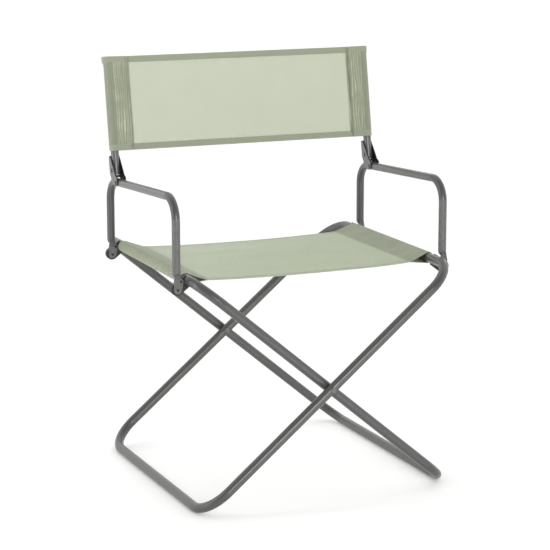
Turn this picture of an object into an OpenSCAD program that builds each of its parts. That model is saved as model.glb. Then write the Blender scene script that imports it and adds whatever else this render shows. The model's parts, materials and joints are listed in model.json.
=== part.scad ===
// Folding director chair: two linked tubular leg frames crossing as an X, two armrest hoops that
// pivot on the seat rails, two fold-down back posts, a sling seat and a sleeved back panel.
// Units are millimetres. +Z is up, the front of the chair faces -Y, and the origin is on the floor
// under the middle of the chair.

/* [Leg frames] */
// outside diameter of the leg frame tube
leg_tube_d = 20; // [16:0.5:25]
// wall thickness of every tube
tube_wall = 1.2; // [0.8:0.1:2]
// distance between the two seat rail centres
rail_span = 550; // [460:5:620]
// height of the seat rail centres above the floor
rail_height = 474; // [380:1:520]
// distance between the two foot bar centres
foot_span = 554; // [460:2:640]
// depth of one leg frame, from front leg centre to rear leg centre
frame_depth = 586; // [450:1:640]
// centreline radius of the leg frame bends
leg_bend_r = 65; // [40:1:90]
// gap between the crossing tubes, filled by the washer
cross_gap = 1; // [0.5:0.1:3]

/* [Armrests] */
// outside diameter of the armrest and back post tube
arm_tube_d = 17; // [12:0.5:20]
// distance of the armrest centre plane outside the seat rail centre
arm_offset = 23; // [19:0.5:30]
// position of the front armrest leg along Y
arm_front_y = -206; // [-250:1:-150]
// position of the rear armrest leg along Y
arm_rear_y = 201; // [150:1:250]
// height of the armrest centreline at its front corner
arm_front_z = 641; // [560:1:700]
// slope of the armrest down towards the rear, in degrees
arm_slope = 3.133; // [1:0.001:8]
// centreline radius of the armrest bends
arm_bend_r = 45; // [25:1:80]
// height at which the round part of each armrest leg ends, above its flattened tab
arm_foot_z = 478; // [476:1:490]

/* [Back] */
// backward lean of the back posts in degrees
lean = 10.2; // [0:0.1:20]
// position of the post pivot along Y
pivot_y = 160; // [120:1:200]
// height of the post pivot
pivot_z = 645; // [630:1:670]
// length of the post above its pivot
post_top = 236; // [180:1:300]
// length of the post below its pivot
post_tail = 9; // [8:0.5:9]
// distance from the pivot to the lower edge of the back panel, along the post
panel_low = 41; // [30:1:80]
// height of the back panel along the post
panel_h = 203; // [140:1:260]

/* [Fabric] */
// width of a sewn sleeve, from its outer edge to its seam
sleeve_w = 57; // [35:1:80]
// front edge of the seat sling along Y
seat_front_y = -202; // [-240:1:-150]
// rear edge of the seat sling along Y
seat_rear_y = 186; // [120:1:220]
// how far the seam of the seat sits below the rail centre
seat_drop = 4; // [0:0.5:12]
// how much the unloaded seat dips in the middle
seat_sag = 3; // [0:0.5:25]
// thickness of one layer of cloth
cloth_t = 0.7; // [0.4:0.1:1.5]

/* [Hidden] */
$fn = 64;
leg_r = leg_tube_d / 2;
arm_r = arm_tube_d / 2;
rail_x = rail_span / 2;
foot_x = foot_span / 2;
half_depth = frame_depth / 2;
frame_shift = (leg_tube_d + cross_gap) / 2;
leg_run = rail_x + foot_x;
leg_rise = rail_height - leg_r;
leg_len = sqrt(leg_run * leg_run + leg_rise * leg_rise);
leg_tilt = atan(leg_rise / leg_run);
cross_dist = rail_x / cos(leg_tilt);
cross_z = rail_height - cross_dist * sin(leg_tilt);
arm_x = rail_x + arm_offset;
arm_rear_z = arm_front_z - (arm_rear_y - arm_front_y) * tan(arm_slope);
turn_front = 90 + arm_slope;
turn_rear = 90 - arm_slope;
corner_front = arm_bend_r * tan(turn_front / 2);
corner_rear = arm_bend_r * tan(turn_rear / 2);
hoop_top_len = (arm_rear_y - arm_front_y) / cos(arm_slope) - corner_front - corner_rear;
clear = 0.1;

// rivets
rivet_r = 3;
rivet_running = 0.05;
head_r = 5.5;
head_h = 2;
small_rivet_r = 2.5;
small_head_r = 4.5;
small_head_h = 1.6;
tab_rivet_r = 1.6;
tab_head_r = 2.4;
tab_head_h = 0.9;

// flattened tabs at the ends of the armrest tube, each with a lower and an upper rivet
tab_t = 2 * tube_wall + 0.2;
tab_front = -arm_r - 0.2;
tab_back = tab_front + tab_t;
tab_half = arm_r - 0.2;
tab_low = [arm_x, 456];
tab_low_r = 8.5;
tab_high = [arm_x - 6.8, 473.2];
tab_high_r = 5.6;
tab_shoulder_z = arm_foot_z - 6;
tab_top = arm_foot_z + 12;
tab_neck = 4.5;
// the wedge between the tab and the full round of the tube
crimp_from = arm_foot_z + 3;
crimp_h = 14;
bore_foot_z = crimp_from + crimp_h + 2;

// pivot shoes
shoe_t = 8.6;
shoe_disc_r = 13;
shoe_disc_z = 457.5;
shoe_hook_r = 12;
// the hook's outer face is off centre, so that its wall is thin at the tips
shoe_hook = [rail_x + 1.2, rail_height - 0.9];
shoe_bore_r = leg_r + clear;
shoe_open_from = -68;
shoe_open_to = 110;

// back brackets
liner_in = arm_r + 0.2;
liner_out = arm_r + 1.2;
plate_out = liner_out + 1.2;
web_low = 14;
web_high = 31;
plate_rivet_y = 136;
plate_rivet_z = arm_front_z - (plate_rivet_y - arm_front_y) * tan(arm_slope);
liner_reveal = 2.6;
// the liner's floor, a strip just clear of the sweep of the post's lower end
floor_r = sqrt(post_tail * post_tail + arm_r * arm_r) + 0.4;
floor_t = 2;
floor_from = -20;
floor_sweep = 52;
liner_lap = 0.5;

// cloth
seam_x_seat = rail_x + leg_r + 1 - sleeve_w;
seam_x_back = arm_x + arm_r + 1 - sleeve_w;
cloth_gap = 0.35;
seam_allowance = 3;
nip = 0.05;

// ---- helpers ----

// upright solid rod
module rod(l, r) {
    cylinder(h = l, r = r);
}

// rod along Y, from y0 to y1, at x and z
module rod_y(x, z, y0, y1, r) {
    translate([x, y1, z])
        rotate([90, 0, 0])
            cylinder(h = y1 - y0, r = r);
}

// rod along X, from x0 to x1, at y and z
module rod_x(y, z, x0, x1, r) {
    translate([x0, y, z])
        rotate([0, 90, 0])
            cylinder(h = x1 - x0, r = r);
}

// part of a ring of round section, in the XY plane
module bend(cx, cy, ring_r, r, a0, sweep) {
    translate([cx, cy, 0])
        rotate([0, 0, a0])
            rotate_extrude(angle = sweep)
                translate([ring_r, 0])
                    circle(r = r);
}

// solid outline of a leg frame in its own plane: the rail at x = 0, the foot bar at x = leg_len
module frame_outline(r) {
    straight = half_depth - leg_bend_r;
    far = leg_len - leg_bend_r;
    rod_y(0, 0, -straight, straight, r);
    rod_y(leg_len, 0, -straight, straight, r);
    for (s = [-1, 1])
        translate([leg_bend_r, s * half_depth, 0])
            rotate([0, 90, 0])
                rod(far - leg_bend_r, r);
    bend(leg_bend_r, straight, leg_bend_r, r, 90, 90);
    bend(leg_bend_r, -straight, leg_bend_r, r, 180, 90);
    bend(far, straight, leg_bend_r, r, 0, 90);
    bend(far, -straight, leg_bend_r, r, 270, 90);
}

module frame_tube(bore_r) {
    difference() {
        frame_outline(leg_r);
        frame_outline(leg_r - tube_wall);
        for (s = [-1, 1])
            rod_y(cross_dist, 0, s * half_depth - leg_r - 2, s * half_depth + leg_r + 2, bore_r);
    }
}

// solid outline of an armrest hoop in a plane whose x runs rearward along the top bar, with its
// legs ending at height foot_z
module hoop_outline(r, foot_z) {
    rotate([0, 0, 90])
        rotate([90, 0, 0])
            rod(hoop_top_len, r);
    translate([0, -arm_bend_r, 0]) {
        bend(0, 0, arm_bend_r, r, 90, turn_front);
        rotate([0, 0, 180 + arm_slope])
            translate([arm_bend_r, 0, 0])
                rotate([-90, 0, 0])
                    rod(arm_front_z - corner_front - foot_z, r);
    }
    translate([hoop_top_len, -arm_bend_r, 0]) {
        bend(0, 0, arm_bend_r, r, arm_slope, turn_rear);
        rotate([0, 0, arm_slope])
            translate([arm_bend_r, 0, 0])
                rotate([90, 0, 0])
                    rod(arm_rear_z - corner_rear - foot_z, r);
    }
}

// two discs at a and b joined by a web that runs tangent to both
module link(a, ra, b, rb) {
    run = norm(b - a);
    turn = atan2(b[1] - a[1], b[0] - a[0]);
    tip = acos((ra - rb) / run);
    at_a = (ra - nip) * [cos(tip), sin(tip)];
    at_b = (rb - nip) * [cos(tip), sin(tip)] + [run, 0];
    translate(a)
        circle(r = ra);
    translate(b)
        circle(r = rb);
    translate(a)
        rotate([0, 0, turn])
            polygon([at_a, [at_a[0], -at_a[1]], [at_b[0], -at_b[1]], at_b]);
}

// outline of a tab for the right-hand side, seen along Y
module tab_outline() {
    link(tab_low, tab_low_r, tab_high, tab_high_r);
    translate([arm_x, 0])
        polygon([[-tab_half, tab_low[1]], [tab_half, tab_low[1]], [tab_half, tab_shoulder_z],
            [tab_neck, tab_top], [-tab_neck, tab_top], [-tab_half, tab_shoulder_z]]);
}

// slab from y0 to y1 with the outline of its child, turned over for the left-hand side
module slab(side, y0, y1) {
    mirror([side < 0 ? 1 : 0, 0, 0])
        translate([0, y1, 0])
            rotate([90, 0, 0])
                linear_extrude(y1 - y0)
                    children();
}

// the two rivet holes of a tab or of its shoe
module tab_bores(side, y0, y1) {
    for (p = [tab_low, tab_high])
        rod_y(side * p[0], p[1], y0, y1, tab_rivet_r);
}

// what is cut away behind a tab, up to the full round of the tube
module crimp(side, leg_y) {
    translate([side * arm_x - arm_tube_d, leg_y + tab_back, crimp_from])
        rotate([90, 0, 90])
            linear_extrude(2 * arm_tube_d)
                polygon([[0, -20], [0, 0], [arm_tube_d, crimp_h * arm_tube_d / (arm_r - tab_back)],
                    [arm_tube_d, -20]]);
}

// one armrest tube at x = side * arm_x, with its tabs, bored for its rivets
module armrest_tube(side) {
    difference() {
        union() {
            difference() {
                translate([side * arm_x, 0, 0])
                    rotate([90, 0, 90])
                        translate([arm_front_y + corner_front * cos(arm_slope),
                            arm_front_z - corner_front * sin(arm_slope), 0])
                            rotate([0, 0, -arm_slope])
                                difference() {
                                    hoop_outline(arm_r, arm_foot_z);
                                    hoop_outline(arm_r - tube_wall, bore_foot_z);
                                }
                for (y = [arm_front_y, arm_rear_y])
                    crimp(side, y);
            }
            for (y = [arm_front_y, arm_rear_y])
                slab(side, y + tab_front, y + tab_back)
                    tab_outline();
        }
        for (y = [arm_front_y, arm_rear_y])
            tab_bores(side, y + tab_front - 1, y + tab_back + 1);
        rod_x(plate_rivet_y, plate_rivet_z, side * arm_x - 12, side * arm_x + 12, small_rivet_r);
    }
}

// outline of a pivot shoe for the right-hand side, seen along Y: a hook round the seat rail
module shoe_outline() {
    difference() {
        link(shoe_hook, shoe_hook_r, [arm_x, shoe_disc_z], shoe_disc_r);
        translate([rail_x, rail_height])
            circle(r = shoe_bore_r);
        // the mouth of the hook faces up and inboard
        translate([rail_x, rail_height])
            mirror([1, 0])
                polygon([[0, 0], [30 * cos(shoe_open_from), 30 * sin(shoe_open_from)], [30, -20],
                    [30, 30], [30 * cos(shoe_open_to), 30 * sin(shoe_open_to)]]);
    }
}

// a pivot shoe, against the back of the tab of the leg at leg_y
module pivot_shoe(side, leg_y) {
    y0 = leg_y + tab_back;
    difference() {
        slab(side, y0, y0 + shoe_t)
            shoe_outline();
        tab_bores(side, y0 - 1, y0 + shoe_t + 1);
    }
}

// the two rivets through a tab and its shoe
module shoe_rivet_pair(side, leg_y) {
    y0 = leg_y + tab_front;
    y1 = leg_y + tab_back + shoe_t;
    tab_bores(side, y0 - tab_head_h, y1 + tab_head_h);
    for (p = [tab_low, tab_high]) {
        rod_y(side * p[0], p[1], y0 - tab_head_h, y0, tab_head_r);
        rod_y(side * p[0], p[1], y1, y1 + tab_head_h, tab_head_r);
    }
}

// point at distance s along the post and n behind it, as [y, z]
function on_post(s, n) = [pivot_y + s * sin(lean) + n * cos(lean),
    pivot_z + s * cos(lean) - n * sin(lean)];

// side view of the bracket in the YZ plane: grow moves its front edge forward, back is how far
// its rear edge lies behind the post's centreline
module plate_outline(grow, back) {
    polygon([on_post(web_high, back), on_post(web_high + 1, 4 - grow), [148 - grow, 652],
        [137 - grow, 639], [127 - grow, 634], [126 - grow, 619], [131, 615.2], [141, 614.8],
        [158, 624], on_post(-4, back)]);
}

// a block across the channel, from s0 to s1 along the post and n0 to n1 behind it
module post_block(half_w, s0, s1, n0, n1) {
    translate([0, pivot_y, pivot_z])
        rotate([-lean, 0, 0])
            translate([-half_w, n0, s0])
                cube([2 * half_w, n1 - n0, s1 - s0]);
}

// a channel open to the front, whose rear wall runs only from web_low up, bored for its rivets
module channel(side, outer, inner, grow) {
    translate([side * arm_x, 0, 0])
        difference() {
            translate([-outer, 0, 0])
                rotate([90, 0, 90])
                    linear_extrude(2 * outer)
                        plate_outline(grow, outer);
            post_block(inner, -60, 60, -60, inner);
            post_block(inner, -60, web_low, inner - 1, outer + 5);
            rod_x(plate_rivet_y, plate_rivet_z, -15, 15, small_rivet_r);
            rod_x(pivot_y, pivot_z, -15, 15, small_rivet_r);
        }
}

// plastic liner inside a bracket, with a floor under the lower end of the post
module bracket_liner(side) {
    channel(side, liner_out, liner_in, liner_reveal);
    translate([side * arm_x, pivot_y, pivot_z])
        rotate([0, 90, 0])
            rotate([0, 0, floor_from])
                rotate_extrude(angle = floor_sweep)
                    translate([floor_r, -liner_in - liner_lap])
                        square([floor_t, 2 * (liner_in + liner_lap)]);
}

// rivet along X through a bracket
module bracket_pin(side, y, z) {
    x = side * arm_x;
    w = plate_out;
    rod_x(y, z, x - w - small_head_h, x + w + small_head_h, small_rivet_r);
    rod_x(y, z, x - w - small_head_h, x - w, small_head_r);
    rod_x(y, z, x + w, x + w + small_head_h, small_head_r);
}

module back_post(side) {
    difference() {
        translate([side * arm_x, pivot_y, pivot_z])
            rotate([-lean, 0, 0])
                translate([0, 0, -post_tail])
                    difference() {
                        rod(post_tail + post_top, arm_r);
                        translate([0, 0, -1])
                            rod(post_tail + post_top + 2, arm_r - tube_wall);
                    }
        rod_x(pivot_y, pivot_z, side * arm_x - 12, side * arm_x + 12,
            small_rivet_r + rivet_running);
    }
}

module post_plug(side) {
    translate([side * arm_x, pivot_y, pivot_z])
        rotate([-lean, 0, 0])
            translate([0, 0, post_top]) {
                rod(3, arm_r);
                translate([0, 0, -14])
                    rod(14, arm_r - tube_wall);
            }
}

// height of the cloth between the seams, against the tube centres
function dip(x, seam_x, drop, sag) = -drop - sag * (1 - pow(x / seam_x, 2));

// point near the rim of the left sleeve where its upper (up = 1) or lower (up = -1) cloth leaves
// the tube: d is from the tube centre to the seam, and a is how far the seam hangs
function leave(tube_x, r, d, a, up) = [-tube_x + (r - nip) * cos(up * acos(r / d) - a),
    (r - nip) * sin(up * acos(r / d) - a)];

// section of a cloth with a sleeve at each edge: the tubes at x = +-tube_x, their centres at y = 0
module sling_section(tube_x, tube_r, seam_x, drop, sag, steps) {
    run = tube_x - seam_x;
    d = sqrt(run * run + drop * drop);
    a = atan(drop / run);
    r_in = tube_r + cloth_gap;
    r_out = r_in + cloth_t;
    mid = [for (i = [0:steps]) let (x = seam_x * (2 * i / steps - 1))
        [x, dip(x, seam_x, drop, sag)]];
    low = leave(tube_x, r_out, d, a, -1);
    high = leave(tube_x, r_out, d, a, 1);
    difference() {
        union() {
            for (s = [-1, 1])
                translate([s * tube_x, 0])
                    circle(r = r_out);
            polygon(concat([low], [for (p = mid) [p[0], p[1] - cloth_t]], [[-low[0], low[1]],
                [-high[0], high[1]]], [for (i = [steps:-1:0]) [mid[i][0], mid[i][1] + cloth_t]],
                [high]));
        }
        for (s = [0, 1])
            mirror([s, 0]) {
                translate([-tube_x, 0])
                    circle(r = r_in);
                polygon([leave(tube_x, r_in, d, a, -1),
                    [-seam_x - seam_allowance * cos(a), -drop + seam_allowance * sin(a)],
                    leave(tube_x, r_in, d, a, 1)]);
            }
    }
}

// ---- sub-parts ----

module left_leg_frame() {
    color("dimgray")
        translate([-rail_x, frame_shift, rail_height])
            rotate([0, leg_tilt, 0])
                frame_tube(rivet_r + rivet_running);
}

module right_leg_frame() {
    color("dimgray")
        translate([rail_x, -frame_shift, rail_height])
            rotate([0, 180 - leg_tilt, 0])
                frame_tube(rivet_r);
}

// crossing rivets: index -1 is the front one, 1 the rear one
module cross_rivet(s) {
    front = s < 0;
    // outer faces of the pair of tubes at this crossing
    y_in = front ? -half_depth + frame_shift + leg_r : half_depth - frame_shift - leg_r;
    y_out = front ? -half_depth - frame_shift - leg_r : half_depth + frame_shift + leg_r;
    lo = min(y_in, y_out) - (front ? 0 : clear);
    hi = max(y_in, y_out) + clear;
    rod_y(0, cross_z, lo - head_h, hi + head_h, rivet_r);
    rod_y(0, cross_z, lo - head_h, lo, head_r);
    rod_y(0, cross_z, hi, hi + head_h, head_r);
}

module cross_rivets() {
    color("silver") {
        cross_rivet(-1);
        cross_rivet(1);
    }
}

module cross_washers() {
    y_f = -half_depth - frame_shift + leg_r;
    y_r = half_depth - frame_shift + leg_r;
    color("#202020")
        for (y = [y_f, y_r])
            difference() {
                rod_y(0, cross_z, y, y + cross_gap - clear, 8);
                rod_y(0, cross_z, y - 1, y + cross_gap + 1, rivet_r);
            }
}

module left_armrest_tube() {
    color("dimgray") armrest_tube(-1);
}

module right_armrest_tube() {
    color("dimgray") armrest_tube(1);
}

module left_front_pivot_shoe() {
    color("#181818") pivot_shoe(-1, arm_front_y);
}

module left_rear_pivot_shoe() {
    color("#181818") pivot_shoe(-1, arm_rear_y);
}

module right_front_pivot_shoe() {
    color("#181818") pivot_shoe(1, arm_front_y);
}

module right_rear_pivot_shoe() {
    color("#181818") pivot_shoe(1, arm_rear_y);
}

module left_shoe_rivets() {
    color("silver") {
        shoe_rivet_pair(-1, arm_front_y);
        shoe_rivet_pair(-1, arm_rear_y);
    }
}

module right_shoe_rivets() {
    color("silver") {
        shoe_rivet_pair(1, arm_front_y);
        shoe_rivet_pair(1, arm_rear_y);
    }
}

module left_back_bracket() {
    color("gray") channel(-1, plate_out, liner_out, 0);
}

module right_back_bracket() {
    color("gray") channel(1, plate_out, liner_out, 0);
}

module left_bracket_liner() {
    color("#181818") bracket_liner(-1);
}

module right_bracket_liner() {
    color("#181818") bracket_liner(1);
}

module left_bracket_rivet() {
    color("silver") bracket_pin(-1, plate_rivet_y, plate_rivet_z);
}

module right_bracket_rivet() {
    color("silver") bracket_pin(1, plate_rivet_y, plate_rivet_z);
}

module left_post_pivot_pin() {
    color("silver") bracket_pin(-1, pivot_y, pivot_z);
}

module right_post_pivot_pin() {
    color("silver") bracket_pin(1, pivot_y, pivot_z);
}

module left_back_post() {
    color("dimgray") back_post(-1);
}

module right_back_post() {
    color("dimgray") back_post(1);
}

module left_post_plug() {
    color("#181818") post_plug(-1);
}

module right_post_plug() {
    color("#181818") post_plug(1);
}

module seat_sling() {
    color("#b9c2ab")
        translate([0, seat_rear_y, rail_height])
            rotate([90, 0, 0])
                linear_extrude(seat_rear_y - seat_front_y)
                    sling_section(rail_x, leg_r, seam_x_seat, seat_drop, seat_sag, 12);
}

module back_panel() {
    color("#c8cdb8")
        translate([0, pivot_y, pivot_z])
            rotate([-lean, 0, 0])
                translate([0, 0, panel_low])
                    linear_extrude(panel_h)
                        sling_section(arm_x, arm_r, seam_x_back, 0, 0, 1);
}

left_leg_frame();
right_leg_frame();
cross_rivets();
cross_washers();
left_armrest_tube();
right_armrest_tube();
left_front_pivot_shoe();
left_rear_pivot_shoe();
right_front_pivot_shoe();
right_rear_pivot_shoe();
left_shoe_rivets();
right_shoe_rivets();
left_back_bracket();
right_back_bracket();
left_bracket_liner();
right_bracket_liner();
left_bracket_rivet();
right_bracket_rivet();
left_post_pivot_pin();
right_post_pivot_pin();
left_back_post();
right_back_post();
left_post_plug();
right_post_plug();
seat_sling();
back_panel();
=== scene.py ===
"""Folding director chair: the cloth, materials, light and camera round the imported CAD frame. Metres."""

import json
import math

import bpy
import numpy as np
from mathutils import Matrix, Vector, noise


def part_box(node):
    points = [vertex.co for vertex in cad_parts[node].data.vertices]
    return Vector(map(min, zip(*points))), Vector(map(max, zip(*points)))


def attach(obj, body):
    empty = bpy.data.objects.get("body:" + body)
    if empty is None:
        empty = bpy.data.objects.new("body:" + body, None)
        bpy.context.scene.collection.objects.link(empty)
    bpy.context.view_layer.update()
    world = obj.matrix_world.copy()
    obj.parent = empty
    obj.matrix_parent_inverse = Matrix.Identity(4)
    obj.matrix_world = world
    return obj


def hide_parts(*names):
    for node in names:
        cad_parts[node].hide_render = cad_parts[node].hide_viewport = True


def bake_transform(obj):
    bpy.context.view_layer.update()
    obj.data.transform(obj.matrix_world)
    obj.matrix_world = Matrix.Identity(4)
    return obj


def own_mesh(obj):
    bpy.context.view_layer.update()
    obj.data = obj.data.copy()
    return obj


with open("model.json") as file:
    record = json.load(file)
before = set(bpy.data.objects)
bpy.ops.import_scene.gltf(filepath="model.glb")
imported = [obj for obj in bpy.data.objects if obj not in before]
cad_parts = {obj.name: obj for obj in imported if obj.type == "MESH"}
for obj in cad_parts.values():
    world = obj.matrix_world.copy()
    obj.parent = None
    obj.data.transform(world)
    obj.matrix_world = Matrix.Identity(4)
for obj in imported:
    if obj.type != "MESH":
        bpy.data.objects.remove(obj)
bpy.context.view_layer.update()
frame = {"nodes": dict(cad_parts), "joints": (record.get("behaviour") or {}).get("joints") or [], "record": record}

# ---- sizes ----
CLOTH = 0.0008  # thickness of one layer
LAYER = 0.0011  # distance between two layers sewn together
SLEEVE_GAP = 0.0004  # between a tube and the sleeve round it
SEAT_HEM = 0.012  # width of a turned hem
BACK_HEM = 0.0135
SEAM_ALLOWANCE = 0.0015  # how far the lower layer runs past a seam
YARN_PITCH = 0.0013
YARN_DRIFT = 0.0045  # how far the yarns wander from straight lines
PAINTED_LINE_SPACING = 0.0055  # spacing of the painted light lines, a painted moiré where two layers of mesh lie together
LEAN = math.radians(10.2)  # of the back posts

# ---- sewing ----
THREAD_R = 0.00026
THREAD_SIDES = 6
STITCH = 0.0034  # length of one stitch
STITCH_GAP = 0.0011
SEAM_ROWS = (0.0012, 0.0052)  # distance of each row of stitches from a sleeve's seam
SEAM_END = 0.002  # free of stitches at the ends of a seam
SEAM_LIFT = 0.0002  # of the stitches off the back's sleeves
HEM_ROW = 0.8  # place of the row of stitches across a hem, as a part of the hem's width
HEM_END = 0.003  # free of stitches at the ends of a hem

# ---- places, from the frame ----
JOINTS = {j["name"]: j for j in frame["joints"]}
RAIL = Vector(JOINTS["right_arm_tilt"]["pos_m"])
PIVOT = Vector(JOINTS["right_back_fold"]["pos_m"])
LEG_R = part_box("right_leg_frame")[1].z - RAIL.z
POST_LOW, POST_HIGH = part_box("right_back_post")
ARM_R = (POST_HIGH.x - POST_LOW.x) / 2
SEAT_LOW, SEAT_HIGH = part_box("seat_sling")
PANEL_LOW, PANEL_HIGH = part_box("back_panel")

# ---- seat ----
SEAT_SEAM_X = 0.229
SEAT_DROP = 0.004  # the seam lies this far below the rail centre
SEAT_SAG = 0.003
SEAT_SKEW = 0.007  # how much further back the front edge is on the right
SEAT_MOUTH = 0.008  # how far the front edge of each sleeve is drawn back over its rail
MOUTH_PART = 0.2  # the part of the seat's depth in which it is drawn back
SEAT_SLACK = 0.0022  # how far the front and rear edges hang lower
SLACK_REACH = 0.03  # from each edge
SEAT_FOLD = 0.0016  # height of the shallow folds, and of the finer ripples on them
SEAT_RIPPLE = 0.0004

# ---- back ----
BACK_SEAM = (-0.254, 0.260)
PANEL_FOLD = 0.0014
PANEL_SAG = 0.002
PUCKER = 0.0008  # of the sleeves, starting PUCKER_REACH from the seam
PUCKER_REACH = 0.012
CORNER_SIZE = {"left": 0.0024, "right": 0.0012}  # how far each sleeve's top corner stands out
CORNER_STEP = 0.0009  # height over which the corner swells, at the hem's lower edge
PANEL_INSET = 0.003  # of the cloth's edges from the CAD panel's highest and lowest points
PANEL_BOTTOM = (PANEL_LOW.z - PIVOT.z + PANEL_INSET) / math.cos(LEAN)
PANEL_TOP = (PANEL_HIGH.z - PIVOT.z - PANEL_INSET) / math.cos(LEAN)
BACK_NORMAL = (0, -math.cos(LEAN), math.sin(LEAN))  # of its front


# ---- node material helpers ----
def new_material(name):
    m = bpy.data.materials.new(name)
    m.use_nodes = True
    tree = m.node_tree
    return m, tree, tree.nodes["Principled BSDF"]


def add(tree, kind, **properties):
    n = tree.nodes.new(kind)
    for key, value in properties.items():
        setattr(n, key, value)
    return n


def feed(tree, socket, value):
    """Set a socket to a number or a tuple, or link another node's output to it."""
    if isinstance(value, bpy.types.NodeSocket):
        tree.links.new(value, socket)
    else:
        socket.default_value = value


def math_node(tree, operation, a, b=None, clamp=False):
    n = add(tree, "ShaderNodeMath", operation=operation, use_clamp=clamp)
    feed(tree, n.inputs[0], a)
    if b is not None:
        feed(tree, n.inputs[1], b)
    return n.outputs[0]


def vector_node(tree, operation, a, b):
    n = add(tree, "ShaderNodeVectorMath", operation=operation)
    feed(tree, n.inputs[0], a)
    feed(tree, n.inputs["Scale" if operation == "SCALE" else 1], b)
    return n.outputs["Value" if operation == "DOT_PRODUCT" else 0]


def mapped(tree, value, source, target, smooth=False):
    """The value carried from the source range to the target range, and held at both ends."""
    n = add(tree, "ShaderNodeMapRange", interpolation_type="SMOOTHSTEP" if smooth else "LINEAR")
    n.inputs["From Min"].default_value, n.inputs["From Max"].default_value = source
    n.inputs["To Min"].default_value, n.inputs["To Max"].default_value = target
    feed(tree, n.inputs["Value"], value)
    return n.outputs[0]


def noise_node(tree, coordinate, scale, detail=3.0):
    n = add(tree, "ShaderNodeTexNoise")
    n.inputs["Scale"].default_value = scale
    n.inputs["Detail"].default_value = detail
    tree.links.new(coordinate, n.inputs["Vector"])
    return n


def noise_at(tree, coordinate, scale, detail=3.0):
    return noise_node(tree, coordinate, scale, detail).outputs["Fac"]


def bump(tree, height, strength, distance):
    n = add(tree, "ShaderNodeBump")
    n.inputs["Strength"].default_value = strength
    n.inputs["Distance"].default_value = distance
    tree.links.new(height, n.inputs["Height"])
    return n.outputs["Normal"]


def shaded(tree, colour, factor, low, high):
    """colour times a number that goes from low to high as factor goes from 0 to 1."""
    return vector_node(tree, "SCALE", colour, mapped(tree, factor, (0, 1), (low, high)))


def split(tree, vector):
    axes = add(tree, "ShaderNodeSeparateXYZ")
    tree.links.new(vector, axes.inputs[0])
    return axes.outputs["X"], axes.outputs["Y"]


def mixed_shaders(tree, factor, first, second):
    n = add(tree, "ShaderNodeMixShader")
    feed(tree, n.inputs["Fac"], factor)
    tree.links.new(first, n.inputs[1])
    tree.links.new(second, n.inputs[2])
    return n.outputs[0]


def object_coordinate(tree):
    return add(tree, "ShaderNodeTexCoord").outputs["Object"]


# ---- materials of the frame ----
def powder_coat():
    """Satin grey powder coat on steel: fine orange peel, slightly lighter worn edges."""
    m, tree, shader = new_material("powder_coat")
    at = object_coordinate(tree)
    edge = add(tree, "ShaderNodeNewGeometry").outputs["Pointiness"]
    worn = mapped(tree, edge, (0.53, 0.62), (0, 1))
    mix = add(tree, "ShaderNodeMix", data_type="RGBA")
    feed(tree, mix.inputs["Factor"], math_node(tree, "MULTIPLY", worn, noise_at(tree, at, 160)))
    feed(tree, mix.inputs["A"], shaded(tree, (0.096, 0.095, 0.094), noise_at(tree, at, 14, 4), 0.93, 1.07))
    feed(tree, mix.inputs["B"], (0.19, 0.188, 0.184, 1))
    tree.links.new(mix.outputs["Result"], shader.inputs["Base Color"])
    shader.inputs["Metallic"].default_value = 0.35
    shader.inputs["Specular IOR Level"].default_value = 0.3
    shader.inputs["Coat Weight"].default_value = 0.3
    shader.inputs["Coat Roughness"].default_value = 0.13
    rough = mapped(tree, noise_at(tree, at, 45), (0, 1), (0.32, 0.42))
    tree.links.new(rough, shader.inputs["Roughness"])
    tree.links.new(bump(tree, noise_at(tree, at, 1400, 2), 0.12, 0.0002), shader.inputs["Normal"])
    return m


def rivet_steel(name, grey):
    """Dull metal with fine scratches."""
    m, tree, shader = new_material(name)
    at = object_coordinate(tree)
    base = shaded(tree, (grey, grey, grey * 0.98), noise_at(tree, at, 300, 4), 0.8, 1.15)
    tree.links.new(base, shader.inputs["Base Color"])
    shader.inputs["Metallic"].default_value = 0.9
    shader.inputs["Roughness"].default_value = 0.38
    tree.links.new(bump(tree, noise_at(tree, at, 2500, 4), 0.25, 0.0001), shader.inputs["Normal"])
    return m


def black_plastic():
    """Moulded plastic with a fine spark texture."""
    m, tree, shader = new_material("black_plastic")
    at = object_coordinate(tree)
    base = shaded(tree, (0.017, 0.017, 0.018), noise_at(tree, at, 80), 0.8, 1.3)
    tree.links.new(base, shader.inputs["Base Color"])
    rough = mapped(tree, noise_at(tree, at, 220), (0, 1), (0.42, 0.6))
    tree.links.new(rough, shader.inputs["Roughness"])
    tree.links.new(bump(tree, noise_at(tree, at, 2200, 2), 0.3, 0.0002), shader.inputs["Normal"])
    return m


# ---- materials of the cloth ----
def triangle_wave(tree, value):
    """0 at the middle of a thread and 1 between two threads."""
    part = math_node(tree, "SUBTRACT", math_node(tree, "FRACT", value), 0.5)
    return math_node(tree, "MULTIPLY", math_node(tree, "ABSOLUTE", part), 2.0)


def yarn_counts(tree, uv):
    """Number of yarns counted across and along the cloth, with the yarns a little out of line."""
    wander = noise_node(tree, vector_node(tree, "MULTIPLY", uv, (1.8, 0.4, 1.0)), 9.0, 1.0)
    pull = vector_node(tree, "SCALE", wander.outputs["Color"], YARN_DRIFT)
    moved = vector_node(tree, "ADD", uv, pull)
    return split(tree, vector_node(tree, "SCALE", moved, 1 / YARN_PITCH))


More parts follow.
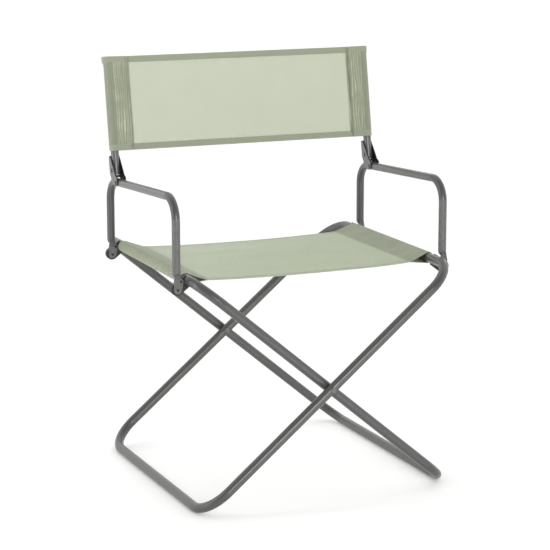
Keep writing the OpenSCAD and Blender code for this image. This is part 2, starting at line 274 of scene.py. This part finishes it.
def weave(tree, across, along, thread):
    """Where the holes of a plain weave are, and its height, with the upper yarn changing by the cell."""
    wave_a, wave_b = triangle_wave(tree, across), triangle_wave(tree, along)
    gap_a = math_node(tree, "MULTIPLY", math_node(tree, "SUBTRACT", wave_a, thread), 9.0, True)
    gap_b = math_node(tree, "MULTIPLY", math_node(tree, "SUBTRACT", wave_b, thread), 9.0, True)
    cos_a = math_node(tree, "COSINE", math_node(tree, "MULTIPLY", across, math.pi))
    cos_b = math_node(tree, "COSINE", math_node(tree, "MULTIPLY", along, math.pi))
    over = math_node(tree, "MULTIPLY", cos_a, cos_b)
    round_a = math_node(tree, "SUBTRACT", 1.0, math_node(tree, "POWER", wave_a, 2.0))
    round_b = math_node(tree, "SUBTRACT", 1.0, math_node(tree, "POWER", wave_b, 2.0))
    top_a = math_node(tree, "MULTIPLY", round_a, math_node(tree, "ADD", 1.0, over))
    top_b = math_node(tree, "MULTIPLY", round_b, math_node(tree, "SUBTRACT", 1.0, over))
    return math_node(tree, "MULTIPLY", gap_a, gap_b), math_node(tree, "MAXIMUM", top_a, top_b)


def painted_moire(tree, uv, slant):
    """Painted light: 0 to 1 in thin wavy lines down the cloth, a painted moiré where the yarns of two layers fall
    together.
    """
    stretched = vector_node(tree, "MULTIPLY", uv, (70.0, 13.0, 1.0))
    u, v = split(tree, uv)
    across = math_node(tree, "ADD", u, math_node(tree, "MULTIPLY", v, slant))
    turns = math_node(tree, "MULTIPLY", across, 2 * math.pi / PAINTED_LINE_SPACING)
    wander = math_node(tree, "MULTIPLY", noise_at(tree, stretched, 1.0, 2), 16.0)
    wave = math_node(tree, "SINE", math_node(tree, "ADD", turns, wander))
    raised = math_node(tree, "ADD", math_node(tree, "MULTIPLY", wave, 0.5), 0.5)
    line = math_node(tree, "POWER", raised, 2.5)
    patches = mapped(tree, noise_at(tree, uv, 22, 2), (0.35, 0.65), (0.25, 1.0))
    return math_node(tree, "MULTIPLY", line, patches)


def cloth_colour(tree, uv, colour, height, lines):
    """Painted shade between and under the yarns, where the weave is low; uneven from yarn to yarn; lines is the
    painted moiré's (slant, dark, light) or None.
    """
    # painted shade: the yarn colour is darker where the weave's height is low, between yarns and where one dips
    # under the other
    yarn = shaded(tree, colour, height, 0.86, 1.06)
    aged = shaded(tree, yarn, noise_at(tree, uv, 16, 4), 0.96, 1.04)
    streak = vector_node(tree, "MULTIPLY", uv, (420.0, 14.0, 1.0))
    uneven = shaded(tree, aged, noise_at(tree, streak, 1.0, 2), 0.95, 1.05)
    if not lines:
        return uneven
    slant, dark, light = lines
    # painted moiré: light lines painted into the colour, from dark between them up to light on them
    return shaded(tree, uneven, painted_moire(tree, uv, slant), dark, light)


def mesh_cloth(name, colour, thread, lines=None):
    """Open plain weave of coated yarn, with true holes; thread is the yarn's width over its pitch."""
    m, tree, shader = new_material(name)
    uv = add(tree, "ShaderNodeUVMap", uv_map="cloth").outputs["UV"]
    hole, height = weave(tree, *yarn_counts(tree, uv), thread)
    base = cloth_colour(tree, uv, colour, height, lines)
    tree.links.new(base, shader.inputs["Base Color"])
    shader.inputs["Roughness"].default_value = 0.72
    shader.inputs["Specular IOR Level"].default_value = 0.3
    shader.inputs["Sheen Weight"].default_value = 0.25
    shader.inputs["Sheen Roughness"].default_value = 0.5
    tree.links.new(bump(tree, height, 0.5, 0.0003), shader.inputs["Normal"])
    glow = add(tree, "ShaderNodeBsdfTranslucent")
    tree.links.new(base, glow.inputs["Color"])
    yarn = mixed_shaders(tree, 0.22, shader.outputs[0], glow.outputs[0])
    clear = add(tree, "ShaderNodeBsdfTransparent")
    surface = mixed_shaders(tree, hole, yarn, clear.outputs[0])
    tree.links.new(surface, tree.nodes["Material Output"].inputs["Surface"])
    return m


def sewing_thread(name, colour):
    """Twisted polyester thread, with painted shade in the grooves of its twist."""
    m, tree, shader = new_material(name)
    at = object_coordinate(tree)
    twist = add(tree, "ShaderNodeTexWave", bands_direction="DIAGONAL")
    twist.inputs["Scale"].default_value = 900.0
    tree.links.new(at, twist.inputs["Vector"])
    # painted shade: darker where the twist's height is low
    base = shaded(tree, colour, twist.outputs["Fac"], 0.8, 1.1)
    tree.links.new(base, shader.inputs["Base Color"])
    shader.inputs["Roughness"].default_value = 0.6
    shader.inputs["Sheen Weight"].default_value = 0.4
    tree.links.new(bump(tree, twist.outputs["Fac"], 0.4, 0.0002), shader.inputs["Normal"])
    return m


def pale_floor():
    """White floor with a slight glow of its own, so that it stays white under soft light."""
    m, tree, shader = new_material("pale_floor")
    at = object_coordinate(tree)
    base = shaded(tree, (0.94, 0.94, 0.935), noise_at(tree, at, 3), 0.99, 1.01)
    tree.links.new(base, shader.inputs["Base Color"])
    shader.inputs["Roughness"].default_value = 0.7
    shader.inputs["Emission Color"].default_value = (1, 1, 1, 1)
    shader.inputs["Emission Strength"].default_value = 0.17
    return m


# ---- mesh helpers ----
def mesh_object(name, points, faces, material, uv=None):
    mesh = bpy.data.meshes.new(name)
    mesh.from_pydata([tuple(p) for p in points], [], faces)
    if uv is not None:
        layer = mesh.uv_layers.new(name="cloth")
        corner = np.zeros(len(mesh.loops), np.int32)
        mesh.loops.foreach_get("vertex_index", corner)
        layer.data.foreach_set("uv", np.asarray(uv, np.float32)[corner].ravel())
    mesh.polygons.foreach_set("use_smooth", [True] * len(mesh.polygons))
    mesh.materials.append(material)
    o = bpy.data.objects.new(name, mesh)
    bpy.context.scene.collection.objects.link(o)
    return o


def grid_object(name, points, uv, material):
    """A sheet from an n by m grid of points, given its thickness by a Solidify modifier."""
    n, m = points.shape[:2]
    faces = [
        (i * m + j, (i + 1) * m + j, (i + 1) * m + j + 1, i * m + j + 1)
        for i in range(n - 1)
        for j in range(m - 1)
    ]
    o = mesh_object(name, points.reshape(-1, 3), faces, material, uv.reshape(-1, 2))
    thick = o.modifiers.new("cloth", "SOLIDIFY")
    thick.thickness = CLOTH
    thick.offset = 0
    return o


def arc(centre, r, start, end, count):
    """Points on an arc, from angle start to angle end."""
    a = np.linspace(start, end, count)
    return [(centre[0] + r * math.cos(t), centre[1] + r * math.sin(t)) for t in a]


def straight(a, b, count):
    """Points from a to b, without b."""
    t = np.linspace(0, 1, count + 1)[:-1]
    return [(a[0] + (b[0] - a[0]) * k, a[1] + (b[1] - a[1]) * k) for k in t]


def sleeve_path(centre, r, seam):
    """Section of a sleeve that opens towards +x: from its lower layer's raw edge round to the seam."""
    dx, dz = seam[0] - centre[0], seam[1] - centre[1]
    lie, spread = math.atan2(dz, dx), math.acos(r / math.hypot(dx, dz))
    away = (seam[0] + SEAM_ALLOWANCE, seam[1] - LAYER)
    under = (seam[0], seam[1] - LAYER)
    ring = arc(centre, r, lie - spread, lie + spread - 2 * math.pi, 33)
    return straight(away, under, 3) + straight(under, ring[0], 9) + ring + straight(ring[-1], seam, 9)[1:]


def flipped(path):
    """The path mirrored in x and run the other way, so that it still goes towards +x on top."""
    return [(-x, z) for x, z in reversed(path)]


def run_along(p):
    """The length along a line of points, up to each of them."""
    return np.concatenate([[0], np.cumsum(np.linalg.norm(np.diff(p, axis=0), axis=1))])


def section(path):
    """The path's points, their outward normals and the length up to each."""
    p = np.array(path, float)
    step = np.gradient(p, axis=0)
    step /= np.linalg.norm(step, axis=1)[:, None]
    normal = np.stack([-step[:, 1], step[:, 0]], axis=1)
    return p, normal, run_along(p)


def path_length(path):
    return section(path)[2][-1]


def hemmed(low, high, hem, count):
    """(place, layers inward) along a cloth with a turned hem at each end; turn is the fold's radius."""
    turn = LAYER / 2
    edge = [(hem, 1.0), (hem * 0.5, 1.0), (0.002, 1.0), (turn, 1.0)]
    edge += [(turn - turn * math.sin(a), 0.5 + 0.5 * math.cos(a)) for a in (0.6, 1.2, 1.57, 1.94, 2.54)]
    edge += [(turn, 0.0), (0.002, 0.0), (hem * 0.5, 0.0), (hem * 0.9, 0.0)]
    start = [(low + d, inward) for d, inward in edge]
    middle = [(d, 0.0) for d in np.linspace(low + hem * 1.15, high - hem * 1.15, count)]
    end = [(high - d, inward) for d, inward in reversed(edge)]
    return start + middle + end


def carried(path, depths, place, relief):
    """Grid of points and of UVs for a section carried along its depths."""
    p, normal, run = section(path)
    along = np.array([d for d, _ in depths])
    inward = np.array([k for _, k in depths]) * LAYER
    flat = np.concatenate([[0], np.cumsum(np.hypot(np.diff(along), np.diff(inward)))])
    points = np.zeros((len(p), len(along), 3))
    for i, (at, out) in enumerate(zip(p, normal)):
        for j, d in enumerate(along):
            lift = relief(at, d, run[i]) - inward[j]
            points[i, j] = place(at[0] + out[0] * lift, at[1] + out[1] * lift, d)
    uv = np.zeros((len(p), len(along), 2))
    uv[..., 0] = run[:, None]
    uv[..., 1] = flat[None, :]
    return points, uv


def stitch_rings(p, normals, run, start):
    """Points of the rings round one stitch, which bends into the cloth at both ends."""
    where = start + STITCH * np.array([0.0, 0.16, 0.5, 0.84, 1.0])
    rise = THREAD_R * np.array([-1.6, 0.5, 0.9, 0.5, -1.6])
    centre = np.stack([np.interp(where, run, p[:, k]) for k in range(3)], axis=1)
    out = np.stack([np.interp(where, run, normals[:, k]) for k in range(3)], axis=1)
    out /= np.linalg.norm(out, axis=1)[:, None]
    ahead = centre[-1] - centre[0]
    ahead /= np.linalg.norm(ahead)
    side = np.cross(ahead, out)
    points = []
    for c, n, s, h in zip(centre, out, side, rise):
        for k in range(THREAD_SIDES):
            a = 2 * math.pi * k / THREAD_SIDES
            up = h + CLOTH / 2 + THREAD_R * math.sin(a)
            points.append(c + n * up + s * THREAD_R * math.cos(a))
    return points


def tube_faces(base, rings):
    """Faces of an open tube through that many rings of points, the first of them at base."""
    faces = []
    for ring in range(rings - 1):
        for k in range(THREAD_SIDES):
            a = base + ring * THREAD_SIDES + k
            b = base + ring * THREAD_SIDES + (k + 1) % THREAD_SIDES
            faces.append((a, b, b + THREAD_SIDES, a + THREAD_SIDES))
    return faces


def stitches(name, rows, material):
    """Stitches along each row of (point, outward normal)."""
    points, faces = [], []
    for row in rows:
        p = np.array([point for point, _ in row], float)
        normals = np.array([normal for _, normal in row], float)
        run = run_along(p)
        start = STITCH_GAP
        while start + STITCH < run[-1]:
            rings = stitch_rings(p, normals, run, start)
            faces += tube_faces(len(points), len(rings) // THREAD_SIDES)
            points += rings
            start += STITCH + STITCH_GAP
    return mesh_object(name, points, faces, material)


# ---- seat ----
def seat_dip(x):
    return RAIL.z - SEAT_DROP - SEAT_SAG * (1 - (x / SEAT_SEAM_X) ** 2)


def seat_path():
    centre = (-RAIL.x, RAIL.z)
    seam = (-SEAT_SEAM_X, seat_dip(SEAT_SEAM_X))
    left = sleeve_path(centre, LEG_R + SLEEVE_GAP + LAYER + CLOTH / 2, seam)
    middle = [(x, seat_dip(x)) for x in np.linspace(-SEAT_SEAM_X, SEAT_SEAM_X, 73)]
    return left + middle + flipped(left)


def seat_place(x, z, y):
    """The front edge runs a little further back on the right, and is drawn back over the rails."""
    front = (SEAT_HIGH.y - y) / (SEAT_HIGH.y - SEAT_LOW.y)
    across = (x + RAIL.x) / (2 * RAIL.x)
    over_rail = max(0.0, (abs(x) - SEAT_SEAM_X) / (RAIL.x - SEAT_SEAM_X))
    near_front = max(0.0, front - (1 - MOUTH_PART)) / MOUTH_PART
    drawn = SEAT_MOUTH * min(1.0, over_rail) * near_front
    return x, y + SEAT_SKEW * front * across + drawn, z


def seat_relief(at, y, _):
    """Shallow tension folds between the rails, dying out at the seams."""
    free = max(0.0, 1 - (abs(at[0]) / SEAT_SEAM_X) ** 4)
    folds = noise.noise(Vector((at[0] * 2.2, y * 13, 3.1))) * SEAT_FOLD
    ripple = noise.noise(Vector((at[0] * 9, y * 30, 7.7))) * SEAT_RIPPLE
    edge = min(abs(y - SEAT_LOW.y), abs(y - SEAT_HIGH.y))
    slack = SEAT_SLACK * math.exp(-edge / SLACK_REACH)
    return (folds + ripple - slack) * free


def seat_cloth(cloth, doubled_painted_shade):
    """The whole seat; its sleeves, where two layers lie together, get a darker material of their own: painted
    shade of the inner layer and the rail, with painted moiré light lines.
    """
    points, uv = carried(seat_path(), hemmed(SEAT_LOW.y, SEAT_HIGH.y, SEAT_HEM, 60), seat_place, seat_relief)
    o = grid_object("seat_cloth", points, uv, cloth)
    o.data.materials.append(doubled_painted_shade)
    for face in o.data.polygons:
        face.material_index = int(abs(face.center.x) > SEAT_SEAM_X)
    return o


def on_seat(x, y):
    """A point on top of the seat, and the normal there."""
    z = seat_dip(x) + seat_relief((x, 0), y, 0)
    return seat_place(x, z, y), (0, 0, 1)


def seat_seams(thread):
    """Two rows along each sleeve seam."""
    made = []
    y_values = np.linspace(SEAT_LOW.y + SEAM_END, SEAT_HIGH.y - SEAM_END, 60)
    for side, body in ((-1, "left_frame"), (1, "right_frame")):
        rows = [[on_seat(side * (SEAT_SEAM_X - inset), y) for y in y_values] for inset in SEAM_ROWS]
        name = "seat_seam_" + body.split("_")[0]
        made.append(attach(stitches(name, rows, thread), body))
    return made


def seat_hems(thread):
    """One row along each turned hem, across the middle of the seat."""
    x_values = np.linspace(-SEAT_SEAM_X + HEM_END, SEAT_SEAM_X - HEM_END, 160)
    y_values = (SEAT_LOW.y + SEAT_HEM * HEM_ROW, SEAT_HIGH.y - SEAT_HEM * HEM_ROW)
    rows = [[on_seat(x, y) for x in x_values] for y in y_values]
    return stitches("seat_hem_stitches", rows, thread)


def build_seat(cloth, doubled_painted_shade, thread):
    flat = (round(path_length(seat_path()), 3), round(SEAT_HIGH.y - SEAT_LOW.y + 2 * SEAT_HEM, 3))
    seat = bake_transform(seat_cloth(cloth, doubled_painted_shade))
    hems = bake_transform(seat_hems(thread))
    seams = seat_seams(thread)
    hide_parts("seat_sling")


# ---- back ----
def on_post(x, n, s):
    """Point n behind the posts' plane and s up along them from their pivots."""
    return (x, PIVOT.y + s * math.sin(LEAN) + n * math.cos(LEAN),
            PIVOT.z + s * math.cos(LEAN) - n * math.sin(LEAN))


def back_place(x, z, s):
    """The section's +z is forwards, so that its outer side is what faces the sitter."""
    return on_post(x, -z, s)


def sleeve_relief(at, s, run):
    """Slight puckers down the sleeve; its stiff folded corners stand out at the top."""
    past_seam = min(1.0, abs(abs(at[0]) - abs(BACK_SEAM[0])) / PUCKER_REACH)
    pucker = noise.noise(Vector((run * 60, s * 9, 1.3))) * PUCKER
    outer = max(0.0, (abs(at[0]) - PIVOT.x) / ARM_R)
    in_hem = 1 / (1 + math.exp((PANEL_TOP - BACK_HEM - s) / CORNER_STEP))
    corner = CORNER_SIZE["left" if at[0] < 0 else "right"] * outer ** 2 * in_hem
    return pucker * past_seam + corner


def panel_relief(at, s, _):
    """Long shallow folds between the posts."""
    middle = (BACK_SEAM[0] + BACK_SEAM[1]) / 2
    free = max(0.0, 1 - (abs(at[0] - middle) / (BACK_SEAM[1] - middle)) ** 4)
    folds = noise.noise(Vector((at[0] * 2.4, s * 14, 9.2))) * PANEL_FOLD
    return (folds - PANEL_SAG) * free


def show_layers(o, hem, over_tube_painted_shade=None):
    """The back's turned hems, and the cloth with a tube right behind it, get darker materials of their own:
    painted shade of the folded layer and of the tube behind.
    """
    o.data.materials.append(hem)
    if over_tube_painted_shade:
        o.data.materials.append(over_tube_painted_shade)
    up = Vector((0, math.sin(LEAN), math.cos(LEAN)))
    for face in o.data.polygons:
        s = (face.center - PIVOT).dot(up)
        if s < PANEL_BOTTOM + BACK_HEM or s > PANEL_TOP - BACK_HEM:
            # hem faces: the darker hem material, painted shade of the folded layer
            face.material_index = 1
        elif over_tube_painted_shade and abs(face.center.x) > PIVOT.x - ARM_R:
            # cloth over the post: painted shade of the tube behind
            face.material_index = 2


def back_sleeve(side, cloth, hem, over_tube_painted_shade, thread):
    """The sleeve on one post, as a piece of its own, so that it goes with that post."""
    centre = (-PIVOT.x, 0.0)
    seam = (-abs(BACK_SEAM[0 if side < 0 else 1]), 0.0)
    r = ARM_R + SLEEVE_GAP + LAYER + CLOTH / 2
    slope = math.tan(math.asin(r / (PIVOT.x + seam[0])))
    path = sleeve_path(centre, r, seam)
    if side > 0:
        path = flipped(path)
    name = "left" if side < 0 else "right"
    points, uv = carried(path, hemmed(PANEL_BOTTOM, PANEL_TOP, BACK_HEM, 34), back_place, sleeve_relief)
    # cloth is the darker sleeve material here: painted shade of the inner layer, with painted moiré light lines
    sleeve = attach(grid_object("back_sleeve_" + name, points, uv, cloth), name + "_post")
    show_layers(sleeve, hem, over_tube_painted_shade)
    heights = np.linspace(PANEL_BOTTOM + SEAM_END, PANEL_TOP - SEAM_END, 40)
    rows = []
    for inset in SEAM_ROWS:
        x = side * (abs(seam[0]) + inset)
        rows.append([(back_place(x, inset * slope + SEAM_LIFT, s), BACK_NORMAL) for s in heights])
    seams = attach(stitches("back_seam_" + name, rows, thread), name + "_post")
    flat = (round(path_length(path), 3), round(PANEL_TOP - PANEL_BOTTOM + 2 * BACK_HEM, 3))


def back_cloth(cloth, hem):
    """The panel between both seams."""
    low, high = BACK_SEAM
    path = [(x, 0.0) for x in np.linspace(low, high, 81)]
    points, uv = carried(path, hemmed(PANEL_BOTTOM, PANEL_TOP, BACK_HEM, 40), back_place, panel_relief)
    o = grid_object("back_cloth", points, uv, cloth)
    show_layers(o, hem)
    return o


def back_hems(thread):
    """One row along each turned hem of the panel."""
    x_values = np.linspace(BACK_SEAM[0] + HEM_END, BACK_SEAM[1] - HEM_END, 160)
    rows = []
    for s in (PANEL_BOTTOM + BACK_HEM * HEM_ROW, PANEL_TOP - BACK_HEM * HEM_ROW):
        rows.append([(back_place(x, panel_relief((x, 0), s, 0), s), BACK_NORMAL) for x in x_values])
    return stitches("back_hem_stitches", rows, thread)


def build_back(cloth, doubled_painted_shade, hem, over_tube_painted_shade, thread):
    for side in (-1, 1):
        back_sleeve(side, doubled_painted_shade, hem, over_tube_painted_shade, thread)
    panel = back_cloth(cloth, hem)
    hems = back_hems(thread)
    for o in (panel, hems):
        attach(o, "left_post")
        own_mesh(o)
    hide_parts("back_panel")


# ---- CAD nodes ----
def dress_cad(materials):
    """Each CAD node gets the material of its slot in the record."""
    slots = {r["node"]: r["material_slot"] for r in frame["record"]["subparts"]}
    for name, o in frame["nodes"].items():
        o.data.materials.clear()
        o.data.materials.append(materials[slots[name]])


# ---- stage ----
def floor(material):
    size = 60.0
    o = mesh_object("floor", [(-size, -size, 0), (size, -size, 0), (size, size, 0), (-size, size, 0)],
                    [(0, 1, 2, 3)], material)


def area_light(name, place, target, size, power):
    data = bpy.data.lights.new(name, "AREA")
    data.shape = "RECTANGLE"
    data.size, data.size_y = size
    data.energy = power
    o = bpy.data.objects.new(name, data)
    bpy.context.scene.collection.objects.link(o)
    o.location = place
    o.rotation_mode = "QUATERNION"
    o.rotation_quaternion = (Vector(target) - Vector(place)).to_track_quat("-Z", "Y")


def sky():
    """White all round, except for a darker part high in front of the chair."""
    world = bpy.data.worlds.new("studio")
    world.use_nodes = True
    tree = world.node_tree
    direction = add(tree, "ShaderNodeTexCoord").outputs["Generated"]
    facing = vector_node(tree, "DOT_PRODUCT", direction, (-0.3, -0.77, 0.56))
    background = tree.nodes["Background"]
    tree.links.new(mapped(tree, facing, (0.1, 0.85), (1.28, 0.4), smooth=True), background.inputs["Strength"])
    background.inputs["Color"].default_value = (1, 1, 1, 1)
    bpy.context.scene.world = world


def lights():
    """A key light in front and a strip to the left, for the streaks on the tubes."""
    middle = (0, 0, 0.45)
    area_light("key", (-0.4, -3.2, 1.2), middle, (1.0, 0.8), 32)
    area_light("strip", (-2.6, 0.2, 1.1), middle, (0.4, 2.0), 12)


def camera():
    """Long lens from the front left, looking a little down."""
    azimuth, elevation, distance = math.radians(-23.157), math.radians(11.585), 4.5667
    target = Vector((0.0094, -0.04225, 0.4314))
    back = Vector((math.sin(azimuth) * math.cos(elevation), -math.cos(azimuth) * math.cos(elevation),
                   math.sin(elevation)))
    data = bpy.data.cameras.new("camera")
    data.sensor_width = 36.0
    data.lens = 140.44
    data.shift_x, data.shift_y = -0.0191, -0.001
    o = bpy.data.objects.new("camera", data)
    bpy.context.scene.collection.objects.link(o)
    o.location = target + back * distance
    o.rotation_mode = "QUATERNION"
    o.rotation_quaternion = (-back).to_track_quat("-Z", "Y")
    data.clip_end = 50
    bpy.context.scene.camera = o
    bpy.context.scene.view_settings.view_transform = "Standard"


# ---- build ----
coat = powder_coat()
seat_mesh = mesh_cloth("seat_mesh", (0.54, 0.6, 0.44), 0.62)
back_mesh = mesh_cloth("back_mesh", (0.55, 0.595, 0.435), 0.36)
# turned hems: darker colour is painted shade of the folded layer
hem_mesh_painted_shade = mesh_cloth("hem_mesh_painted_shade", (0.465, 0.50, 0.375), 0.6)
# seat sleeves: darker colour is painted shade of the inner layer and the rail; lines are painted moiré light
seat_sleeve_mesh_painted_shade_and_light = mesh_cloth("seat_sleeve_mesh_painted_shade_and_light", (0.43, 0.475, 0.335), 0.6, lines=(0.25, 0.9, 1.28))
# back sleeves: darker colour is painted shade of the inner layer; lines are painted moiré light
sleeve_mesh_painted_shade_and_light = mesh_cloth("sleeve_mesh_painted_shade_and_light", (0.485, 0.525, 0.385), 0.6, lines=(0.0, 0.84, 1.6))
# sleeve over the posts: darker colour is painted shade of the tube behind; lines are painted moiré light
tube_mesh_painted_shade_and_light = mesh_cloth("tube_mesh_painted_shade_and_light", (0.40, 0.435, 0.325), 0.6, lines=(0.0, 0.95, 1.1))
thread = sewing_thread("thread", (0.36, 0.40, 0.28))
dress_cad({
    "frame_tube": coat,
    "bracket_steel": coat,
    "rivet_steel": rivet_steel("rivet_steel", 0.21),
    "rivet_black": rivet_steel("rivet_black", 0.035),
    "black_plastic": black_plastic(),
    "seat_mesh": seat_mesh,
    "back_mesh": back_mesh,
})
build_seat(seat_mesh, seat_sleeve_mesh_painted_shade_and_light, thread)
build_back(back_mesh, sleeve_mesh_painted_shade_and_light, hem_mesh_painted_shade, tube_mesh_painted_shade_and_light, thread)
floor(pale_floor())
sky()
lights()
camera()
